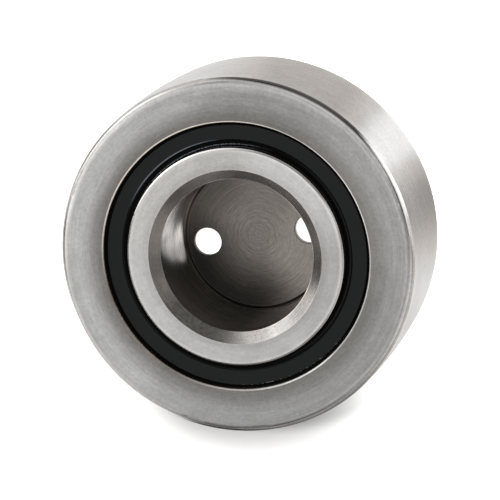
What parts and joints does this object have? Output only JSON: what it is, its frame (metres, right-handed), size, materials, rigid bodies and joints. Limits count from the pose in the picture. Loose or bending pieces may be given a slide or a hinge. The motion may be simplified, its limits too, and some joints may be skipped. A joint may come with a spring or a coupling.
{
  "type": "forklift mast roller",
  "caption": "Sealed ball-bearing roller for a lift mast: a thick steel outer ring turns on a hub whose chamfered blind bore ends in a thin disc with two holes.",
  "frame": {"origin": "centre of the hub's rear face, on which the roller stands", "axes": "+Z along the roller's axis towards the open mouth of the bore; +X through the end disc's two holes"},
  "size_m": [0.105, 0.105, 0.0412],
  "materials": {
    "ring_steel": "satin turned, fine concentric brushing",
    "hub_steel": "satin ground, fine grain",
    "disc_steel": "turned, concentric tool marks",
    "seal_rubber": "matt moulded",
    "cage_steel": "pressed sheet, dull",
    "ball_steel": "polished"
  },
  "bodies": {
    "inner": {"hub": "hub_steel", "end_disc": "disc_steel"},
    "outer": {"outer_ring": "ring_steel", "front_seal": "seal_rubber", "rear_seal": "seal_rubber"},
    "cage": {"cage_front": "cage_steel", "cage_rear": "cage_steel", "cage_rivet_1": "cage_steel", "cage_rivet_2": "cage_steel", "cage_rivet_3": "cage_steel", "cage_rivet_4": "cage_steel", "cage_rivet_5": "cage_steel", "cage_rivet_6": "cage_steel", "cage_rivet_7": "cage_steel", "cage_rivet_8": "cage_steel", "cage_rivet_9": "cage_steel"},
    "ball_1": {"ball_1": "ball_steel"},
    "ball_2": {"ball_2": "ball_steel"},
    "ball_3": {"ball_3": "ball_steel"},
    "ball_4": {"ball_4": "ball_steel"},
    "ball_5": {"ball_5": "ball_steel"},
    "ball_6": {"ball_6": "ball_steel"},
    "ball_7": {"ball_7": "ball_steel"},
    "ball_8": {"ball_8": "ball_steel"},
    "ball_9": {"ball_9": "ball_steel"}
  },
  "joints": [
    {"name": "outer_spin", "type": "hinge", "parent": "inner", "child": "outer", "pos_m": [0, 0, 0.0206], "axis": [0, 0, 1], "continuous": true},
    {"name": "cage_orbit", "type": "hinge", "parent": "inner", "child": "cage", "pos_m": [0, 0, 0.0206], "axis": [0, 0, 1], "continuous": true},
    {"name": "ball_1_spin", "type": "hinge", "parent": "cage", "child": "ball_1", "pos_m": [0.03552, 0, 0.0206], "axis": [0, 0, 1], "continuous": true},
    {"name": "ball_2_spin", "type": "hinge", "parent": "cage", "child": "ball_2", "pos_m": [0.02721, 0.02283, 0.0206], "axis": [0, 0, 1], "continuous": true},
    {"name": "ball_3_spin", "type": "hinge", "parent": "cage", "child": "ball_3", "pos_m": [0.00617, 0.03498, 0.0206], "axis": [0, 0, 1], "continuous": true},
    {"name": "ball_4_spin", "type": "hinge", "parent": "cage", "child": "ball_4", "pos_m": [-0.01776, 0.03076, 0.0206], "axis": [0, 0, 1], "continuous": true},
    {"name": "ball_5_spin", "type": "hinge", "parent": "cage", "child": "ball_5", "pos_m": [-0.03338, 0.01215, 0.0206], "axis": [0, 0, 1], "continuous": true},
    {"name": "ball_6_spin", "type": "hinge", "parent": "cage", "child": "ball_6", "pos_m": [-0.03338, -0.01215, 0.0206], "axis": [0, 0, 1], "continuous": true},
    {"name": "ball_7_spin", "type": "hinge", "parent": "cage", "child": "ball_7", "pos_m": [-0.01776, -0.03076, 0.0206], "axis": [0, 0, 1], "continuous": true},
    {"name": "ball_8_spin", "type": "hinge", "parent": "cage", "child": "ball_8", "pos_m": [0.00617, -0.03498, 0.0206], "axis": [0, 0, 1], "continuous": true},
    {"name": "ball_9_spin", "type": "hinge", "parent": "cage", "child": "ball_9", "pos_m": [0.02721, -0.02283, 0.0206], "axis": [0, 0, 1], "continuous": true}
  ],
  "couplings": [
    {"joint": "cage_orbit", "follows": "outer_spin", "ratio": 0.60056},
    {"joint": "ball_1_spin", "follows": "outer_spin", "ratio": 2.3855},
    {"joint": "ball_2_spin", "follows": "outer_spin", "ratio": 2.3855},
    {"joint": "ball_3_spin", "follows": "outer_spin", "ratio": 2.3855},
    {"joint": "ball_4_spin", "follows": "outer_spin", "ratio": 2.3855},
    {"joint": "ball_5_spin", "follows": "outer_spin", "ratio": 2.3855},
    {"joint": "ball_6_spin", "follows": "outer_spin", "ratio": 2.3855},
    {"joint": "ball_7_spin", "follows": "outer_spin", "ratio": 2.3855},
    {"joint": "ball_8_spin", "follows": "outer_spin", "ratio": 2.3855},
    {"joint": "ball_9_spin", "follows": "outer_spin", "ratio": 2.3855}
  ]
}
